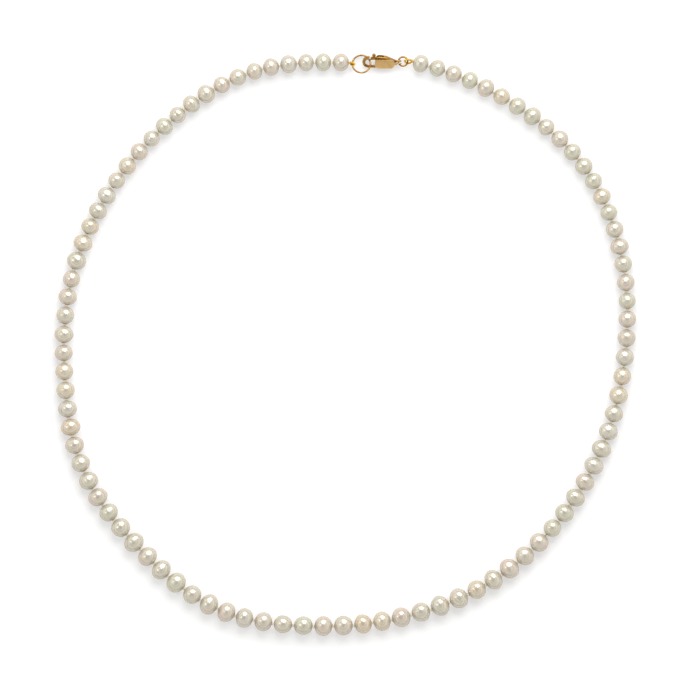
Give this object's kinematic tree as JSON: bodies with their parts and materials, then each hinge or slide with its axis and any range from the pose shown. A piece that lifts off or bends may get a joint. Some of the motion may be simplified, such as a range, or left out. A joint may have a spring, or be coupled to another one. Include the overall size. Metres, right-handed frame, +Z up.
{
  "type": "pearl necklace",
  "caption": "Single strand of graded cream pearls knotted on silk, with French-wire ends, a jump ring and a trigger clasp that carries a small oblong tag.",
  "frame": {"origin": "on the table, under the centre of the loop", "axes": "+Z up from the table; +Y from the front of the loop to the clasp; +X to the right with the clasp at the far side"},
  "size_m": [0.1473, 0.1475, 0.0048],
  "materials": {
    "nacre": "glossy cream nacre with faint pink and green overtones",
    "polished_gold": "polished yellow gold",
    "satin_gold": "satin yellow gold",
    "french_wire": "fine coiled gold wire"
  },
  "bodies": {
    "clasp": {"clasp_body": "polished_gold", "trigger_pin": "polished_gold", "trigger_spring": "polished_gold"},
    "trigger": {"trigger": "polished_gold"},
    "jump_ring": {"jump_ring": "polished_gold"},
    "small_ring": {"small_ring": "polished_gold"},
    "tag": {"tag": "satin_gold"},
    "right_end": {"gimp_right": "french_wire", "pearls_01_02": "nacre"},
    "pearls_03_04": {"pearls_03_04": "nacre"},
    "pearls_05_06": {"pearls_05_06": "nacre"},
    "pearls_07_08": {"pearls_07_08": "nacre"},
    "pearls_09_10": {"pearls_09_10": "nacre"},
    "pearls_11_12": {"pearls_11_12": "nacre"},
    "pearls_13_14": {"pearls_13_14": "nacre"},
    "pearls_15_16": {"pearls_15_16": "nacre"},
    "pearls_17_18": {"pearls_17_18": "nacre"},
    "pearls_19_20": {"pearls_19_20": "nacre"},
    "pearls_21_22": {"pearls_21_22": "nacre"},
    "pearls_23_24": {"pearls_23_24": "nacre"},
    "pearls_25_26": {"pearls_25_26": "nacre"},
    "pearls_27_28": {"pearls_27_28": "nacre"},
    "pearls_29_30": {"pearls_29_30": "nacre"},
    "pearls_31_32": {"pearls_31_32": "nacre"},
    "pearls_33_34": {"pearls_33_34": "nacre"},
    "pearls_35_36": {"pearls_35_36": "nacre"},
    "pearls_37_38": {"pearls_37_38": "nacre"},
    "pearls_39_40": {"pearls_39_40": "nacre"},
    "pearls_41_42": {"pearls_41_42": "nacre"},
    "pearls_43_44": {"pearls_43_44": "nacre"},
    "pearls_45_46": {"pearls_45_46": "nacre"},
    "left_end": {"gimp_left": "french_wire", "pearls_93": "nacre"},
    "pearls_91_92": {"pearls_91_92": "nacre"},
    "pearls_89_90": {"pearls_89_90": "nacre"},
    "pearls_87_88": {"pearls_87_88": "nacre"},
    "pearls_85_86": {"pearls_85_86": "nacre"},
    "pearls_83_84": {"pearls_83_84": "nacre"},
    "pearls_81_82": {"pearls_81_82": "nacre"},
    "pearls_79_80": {"pearls_79_80": "nacre"},
    "pearls_77_78": {"pearls_77_78": "nacre"},
    "pearls_75_76": {"pearls_75_76": "nacre"},
    "pearls_73_74": {"pearls_73_74": "nacre"},
    "pearls_71_72": {"pearls_71_72": "nacre"},
    "pearls_69_70": {"pearls_69_70": "nacre"},
    "pearls_67_68": {"pearls_67_68": "nacre"},
    "pearls_65_66": {"pearls_65_66": "nacre"},
    "pearls_63_64": {"pearls_63_64": "nacre"},
    "pearls_61_62": {"pearls_61_62": "nacre"},
    "pearls_59_60": {"pearls_59_60": "nacre"},
    "pearls_57_58": {"pearls_57_58": "nacre"},
    "pearls_55_56": {"pearls_55_56": "nacre"},
    "pearls_53_54": {"pearls_53_54": "nacre"},
    "pearls_51_52": {"pearls_51_52": "nacre"},
    "pearls_49_50": {"pearls_49_50": "nacre"},
    "pearls_47_48": {"pearls_47_48": "nacre"}
  },
  "joints": [
    {"name": "trigger_press", "type": "hinge", "parent": "clasp", "child": "trigger", "pos_m": [0.0085, 0.07223, 0.00186], "axis": [0.0105, -0.4999, 0.866], "range_deg": [0, 9], "stiffness_Nm_per_rad": 0.0002},
    {"name": "jump_ring_tilt", "type": "hinge", "parent": "clasp", "child": "jump_ring", "pos_m": [0.0039, 0.07098, 0.00142], "axis": [1, 0, 0], "range_deg": [-5, 5]},
    {"name": "small_ring_tilt", "type": "hinge", "parent": "clasp", "child": "small_ring", "pos_m": [0.01446, 0.07162, 0.00152], "axis": [1, 0, 0], "range_deg": [-6, 6]},
    {"name": "tag_swing", "type": "hinge", "parent": "clasp", "child": "tag", "pos_m": [0.01342, 0.07112, 0.00159], "axis": [-0.4384, 0.89, -0.1251], "range_deg": [0, 60]},
    {"name": "right_end_swing", "type": "hinge", "parent": "clasp", "child": "right_end", "pos_m": [0.01562, 0.07162, 0.00152], "axis": [0, 0, 1], "range_deg": [-2.35, 2.35]},
    {"name": "knot_02_03_lift", "type": "hinge", "parent": "right_end", "child": "pearls_03_04", "pos_m": [0.02521, 0.06929, 0.00214], "axis": [-1, 0, 0], "range_deg": [0, 3.25]},
    {"name": "strand_spread", "type": "hinge", "parent": "pearls_03_04", "child": "pearls_05_06", "pos_m": [0.03344, 0.06598, 0.00214], "axis": [0, 0, 1], "range_deg": [-2.49, 2.49]},
    {"name": "knot_06_07_lift", "type": "hinge", "parent": "pearls_05_06", "child": "pearls_07_08", "pos_m": [0.04153, 0.06158, 0.00215], "axis": [-1, 0, 0], "range_deg": [0, 0.854]},
    {"name": "knot_08_09_spread", "type": "hinge", "parent": "pearls_07_08", "child": "pearls_09_10", "pos_m": [0.04911, 0.05643, 0.00216], "axis": [0, 0, 1], "range_deg": [-0.9, 0.9]},
    {"name": "knot_10_11_lift", "type": "hinge", "parent": "pearls_09_10", "child": "pearls_11_12", "pos_m": [0.05597, 0.05044, 0.00217], "axis": [-1, 0, 0], "range_deg": [0, 1.09]},
    {"name": "knot_12_13_spread", "type": "hinge", "parent": "pearls_11_12", "child": "pearls_13_14", "pos_m": [0.06173, 0.04326, 0.00218], "axis": [0, 0, 1], "range_deg": [-0.9, 0.9]},
    {"name": "knot_14_15_lift", "type": "hinge", "parent": "pearls_13_14", "child": "pearls_15_16", "pos_m": [0.06588, 0.03544, 0.00219], "axis": [-1, 0, 0], "range_deg": [0, 0.883]},
    {"name": "knot_16_17_spread", "type": "hinge", "parent": "pearls_15_16", "child": "pearls_17_18", "pos_m": [0.06885, 0.0269, 0.00221], "axis": [0, 0, 1], "range_deg": [-2.16, 2.16]},
    {"name": "knot_18_19_lift", "type": "hinge", "parent": "pearls_17_18", "child": "pearls_19_20", "pos_m": [0.07076, 0.01798, 0.00223], "axis": [-1, 0, 0], "range_deg": [0, 0.866]},
    {"name": "knot_20_21_spread", "type": "hinge", "parent": "pearls_19_20", "child": "pearls_21_22", "pos_m": [0.07143, 0.00869, 0.00225], "axis": [0, 0, 1], "range_deg": [-3.58, 3.58]},
    {"name": "knot_22_23_lift", "type": "hinge", "parent": "pearls_21_22", "child": "pearls_23_24", "pos_m": [0.07102, -0.00093, 0.00226], "axis": [-1, 0, 0], "range_deg": [0, 2.97]},
    {"name": "knot_24_25_spread", "type": "hinge", "parent": "pearls_23_24", "child": "pearls_25_26", "pos_m": [0.06969, -0.01063, 0.00228], "axis": [0, 0, 1], "range_deg": [-3.91, 3.91]},
    {"name": "strand_lift", "type": "hinge", "parent": "pearls_25_26", "child": "pearls_27_28", "pos_m": [0.06737, -0.01991, 0.0023], "axis": [-1, 0, 0], "range_deg": [0, 5.16]},
    {"name": "knot_28_29_spread", "type": "hinge", "parent": "pearls_27_28", "child": "pearls_29_30", "pos_m": [0.06393, -0.02878, 0.00232], "axis": [0, 0, 1], "range_deg": [-2.79, 2.79]},
    {"name": "knot_30_31_lift", "type": "hinge", "parent": "pearls_29_30", "child": "pearls_31_32", "pos_m": [0.05951, -0.03702, 0.00234], "axis": [-1, 0, 0], "range_deg": [0, 5.82]},
    {"name": "knot_32_33_spread", "type": "hinge", "parent": "pearls_31_32", "child": "pearls_33_34", "pos_m": [0.05397, -0.04484, 0.00236], "axis": [0, 0, 1], "range_deg": [-1.36, 1.36]},
    {"name": "knot_34_35_lift", "type": "hinge", "parent": "pearls_33_34", "child": "pearls_35_36", "pos_m": [0.04725, -0.05213, 0.00237], "axis": [-1, 0, 0], "range_deg": [0, 4.99]},
    {"name": "knot_36_37_spread", "type": "hinge", "parent": "pearls_35_36", "child": "pearls_37_38", "pos_m": [0.03948, -0.05853, 0.00239], "axis": [0, 0, 1], "range_deg": [-2.51, 2.51]},
    {"name": "knot_38_39_lift", "type": "hinge", "parent": "pearls_37_38", "child": "pearls_39_40", "pos_m": [0.03097, -0.06353, 0.0024], "axis": [-1, 0, 0], "range_deg": [0, 3.35]},
    {"name": "knot_40_41_spread", "type": "hinge", "parent": "pearls_39_40", "child": "pearls_41_42", "pos_m": [0.02151, -0.06731, 0.00241], "axis": [0, 0, 1], "range_deg": [-4.93, 4.93]},
    {"name": "knot_42_43_lift", "type": "hinge", "parent": "pearls_41_42", "child": "pearls_43_44", "pos_m": [0.01153, -0.06993, 0.00241], "axis": [-1, 0, 0], "range_deg": [0, 1.98]},
    {"name": "knot_44_45_spread", "type": "hinge", "parent": "pearls_43_44", "child": "pearls_45_46", "pos_m": [0.00195, -0.07129, 0.00242], "axis": [0, 0, 1], "range_deg": [-6.28, 6.28]},
    {"name": "left_end_swing", "type": "hinge", "parent": "clasp", "child": "left_end", "pos_m": [0.00161, 0.07098, 0.00142], "axis": [0, 0, 1], "range_deg": [-2.37, 2.37]},
    {"name": "knot_92_93_lift", "type": "hinge", "parent": "left_end", "child": "pearls_91_92", "pos_m": [-0.00355, 0.07147, 0.00214], "axis": [-1, 0, 0], "range_deg": [0, 1.06]},
    {"name": "knot_90_91_spread", "type": "hinge", "parent": "pearls_91_92", "child": "pearls_89_90", "pos_m": [-0.01229, 0.0713, 0.00214], "axis": [0, 0, 1], "range_deg": [-3.3, 3.3]},
    {"name": "knot_88_89_lift", "type": "hinge", "parent": "pearls_89_90", "child": "pearls_87_88", "pos_m": [-0.02114, 0.06989, 0.00214], "axis": [-1, 0, 0], "range_deg": [0, 1.16]},
    {"name": "knot_86_87_spread", "type": "hinge", "parent": "pearls_87_88", "child": "pearls_85_86", "pos_m": [-0.02962, 0.06682, 0.00215], "axis": [0, 0, 1], "range_deg": [-3.36, 3.36]},
    {"name": "knot_84_85_lift", "type": "hinge", "parent": "pearls_85_86", "child": "pearls_83_84", "pos_m": [-0.03744, 0.06218, 0.00216], "axis": [-1, 0, 0], "range_deg": [0, 1.15]},
    {"name": "knot_82_83_spread", "type": "hinge", "parent": "pearls_83_84", "child": "pearls_81_82", "pos_m": [-0.04448, 0.05667, 0.00217], "axis": [0, 0, 1], "range_deg": [-0.9, 0.9]},
    {"name": "knot_80_81_lift", "type": "hinge", "parent": "pearls_81_82", "child": "pearls_79_80", "pos_m": [-0.05092, 0.05053, 0.00219], "axis": [-1, 0, 0], "range_deg": [0, 1.31]},
    {"name": "knot_78_79_spread", "type": "hinge", "parent": "pearls_79_80", "child": "pearls_77_78", "pos_m": [-0.05692, 0.04333, 0.0022], "axis": [0, 0, 1], "range_deg": [-1.66, 1.66]},
    {"name": "knot_76_77_lift", "type": "hinge", "parent": "pearls_77_78", "child": "pearls_75_76", "pos_m": [-0.06186, 0.03577, 0.00222], "axis": [-1, 0, 0], "range_deg": [0, 0.802]},
    {"name": "knot_74_75_spread", "type": "hinge", "parent": "pearls_75_76", "child": "pearls_73_74", "pos_m": [-0.06589, 0.02778, 0.00224], "axis": [0, 0, 1], "range_deg": [-2.72, 2.72]},
    {"name": "knot_72_73_lift", "type": "hinge", "parent": "pearls_73_74", "child": "pearls_71_72", "pos_m": [-0.06911, 0.01882, 0.00226], "axis": [-1, 0, 0], "range_deg": [0, 1.8]},
    {"name": "knot_70_71_spread", "type": "hinge", "parent": "pearls_71_72", "child": "pearls_69_70", "pos_m": [-0.071, 0.00974, 0.00227], "axis": [0, 0, 1], "range_deg": [-3.42, 3.42]},
    {"name": "knot_68_69_lift", "type": "hinge", "parent": "pearls_69_70", "child": "pearls_67_68", "pos_m": [-0.07165, 0.00006, 0.00229], "axis": [-1, 0, 0], "range_deg": [0, 3.34]},
    {"name": "knot_66_67_spread", "type": "hinge", "parent": "pearls_67_68", "child": "pearls_65_66", "pos_m": [-0.07134, -0.00935, 0.00231], "axis": [0, 0, 1], "range_deg": [-3.26, 3.26]},
    {"name": "knot_64_65_lift", "type": "hinge", "parent": "pearls_65_66", "child": "pearls_63_64", "pos_m": [-0.07036, -0.01878, 0.00233], "axis": [-1, 0, 0], "range_deg": [0, 4.89]},
    {"name": "knot_62_63_spread", "type": "hinge", "parent": "pearls_63_64", "child": "pearls_61_62", "pos_m": [-0.06827, -0.02796, 0.00235], "axis": [0, 0, 1], "range_deg": [-2.25, 2.25]},
    {"name": "knot_60_61_lift", "type": "hinge", "parent": "pearls_61_62", "child": "pearls_59_60", "pos_m": [-0.06428, -0.03686, 0.00236], "axis": [-1, 0, 0], "range_deg": [0, 5.48]},
    {"name": "knot_58_59_spread", "type": "hinge", "parent": "pearls_59_60", "child": "pearls_57_58", "pos_m": [-0.05881, -0.04464, 0.00238], "axis": [0, 0, 1], "range_deg": [-0.9, 0.9]},
    {"name": "knot_56_57_lift", "type": "hinge", "parent": "pearls_57_58", "child": "pearls_55_56", "pos_m": [-0.05208, -0.05213, 0.00239], "axis": [-1, 0, 0], "range_deg": [0, 4.86]},
    {"name": "knot_54_55_spread", "type": "hinge", "parent": "pearls_55_56", "child": "pearls_53_54", "pos_m": [-0.04511, -0.05895, 0.0024], "axis": [0, 0, 1], "range_deg": [-2.75, 2.75]},
    {"name": "knot_52_53_lift", "type": "hinge", "parent": "pearls_53_54", "child": "pearls_51_52", "pos_m": [-0.03701, -0.06503, 0.00241], "axis": [-1, 0, 0], "range_deg": [0, 3.14]},
    {"name": "knot_50_51_spread", "type": "hinge", "parent": "pearls_51_52", "child": "pearls_49_50", "pos_m": [-0.02814, -0.06898, 0.00242], "axis": [0, 0, 1], "range_deg": [-7.21, 7.21]},
    {"name": "knot_48_49_lift", "type": "hinge", "parent": "pearls_49_50", "child": "pearls_47_48", "pos_m": [-0.01856, -0.07089, 0.00242], "axis": [-1, 0, 0], "range_deg": [0, 1.21]}
  ],
  "couplings": [
    {"joint": "right_end_swing", "follows": "strand_spread", "ratio": 0.9433},
    {"joint": "knot_02_03_lift", "follows": "strand_lift", "ratio": 0.6288},
    {"joint": "knot_06_07_lift", "follows": "strand_lift", "ratio": 0.1653},
    {"joint": "knot_08_09_spread", "follows": "strand_spread", "ratio": 0.3615},
    {"joint": "knot_10_11_lift", "follows": "strand_lift", "ratio": 0.2119},
    {"joint": "knot_12_13_spread", "follows": "strand_spread", "ratio": -0.3615},
    {"joint": "knot_14_15_lift", "follows": "strand_lift", "ratio": 0.1708},
    {"joint": "knot_16_17_spread", "follows": "strand_spread", "ratio": -0.8679},
    {"joint": "knot_18_19_lift", "follows": "strand_lift", "ratio": 0.1675},
    {"joint": "knot_20_21_spread", "follows": "strand_spread", "ratio": -1.436},
    {"joint": "knot_22_23_lift", "follows": "strand_lift", "ratio": 0.5759},
    {"joint": "knot_24_25_spread", "follows": "strand_spread", "ratio": -1.5706},
    {"joint": "knot_28_29_spread", "follows": "strand_spread", "ratio": -1.1216},
    {"joint": "knot_30_31_lift", "follows": "strand_lift", "ratio": 1.1282},
    {"joint": "knot_32_33_spread", "follows": "strand_spread", "ratio": -0.5473},
    {"joint": "knot_34_35_lift", "follows": "strand_lift", "ratio": 0.9673},
    {"joint": "knot_36_37_spread", "follows": "strand_spread", "ratio": 1.0072},
    {"joint": "knot_38_39_lift", "follows": "strand_lift", "ratio": 0.6485},
    {"joint": "knot_40_41_spread", "follows": "strand_spread", "ratio": 1.9814},
    {"joint": "knot_42_43_lift", "follows": "strand_lift", "ratio": 0.384},
    {"joint": "knot_44_45_spread", "follows": "strand_spread", "ratio": 2.52},
    {"joint": "left_end_swing", "follows": "strand_spread", "ratio": -0.9497},
    {"joint": "knot_92_93_lift", "follows": "strand_lift", "ratio": 0.2052},
    {"joint": "knot_90_91_spread", "follows": "strand_spread", "ratio": -1.3257},
    {"joint": "knot_88_89_lift", "follows": "strand_lift", "ratio": 0.2239},
    {"joint": "knot_86_87_spread", "follows": "strand_spread", "ratio": -1.3504},
    {"joint": "knot_84_85_lift", "follows": "strand_lift", "ratio": 0.2218},
    {"joint": "knot_82_83_spread", "follows": "strand_spread", "ratio": 0.3615},
    {"joint": "knot_80_81_lift", "follows": "strand_lift", "ratio": 0.2542},
    {"joint": "knot_78_79_spread", "follows": "strand_spread", "ratio": 0.6651},
    {"joint": "knot_76_77_lift", "follows": "strand_lift", "ratio": 0.1552},
    {"joint": "knot_74_75_spread", "follows": "strand_spread", "ratio": 1.0924},
    {"joint": "knot_72_73_lift", "follows": "strand_lift", "ratio": 0.3492},
    {"joint": "knot_70_71_spread", "follows": "strand_spread", "ratio": 1.3745},
    {"joint": "knot_68_69_lift", "follows": "strand_lift", "ratio": 0.6471},
    {"joint": "knot_66_67_spread", "follows": "strand_spread", "ratio": 1.3081},
    {"joint": "knot_64_65_lift", "follows": "strand_lift", "ratio": 0.9474},
    {"joint": "knot_62_63_spread", "follows": "strand_spread", "ratio": 0.9047},
    {"joint": "knot_60_61_lift", "follows": "strand_lift", "ratio": 1.0622},
    {"joint": "knot_58_59_spread", "follows": "strand_spread", "ratio": 0.3615},
    {"joint": "knot_56_57_lift", "follows": "strand_lift", "ratio": 0.9419},
    {"joint": "knot_54_55_spread", "follows": "strand_spread", "ratio": -1.1059},
    {"joint": "knot_52_53_lift", "follows": "strand_lift", "ratio": 0.6077},
    {"joint": "knot_50_51_spread", "follows": "strand_spread", "ratio": -2.8948},
    {"joint": "knot_48_49_lift", "follows": "strand_lift", "ratio": 0.2347}
  ]
}
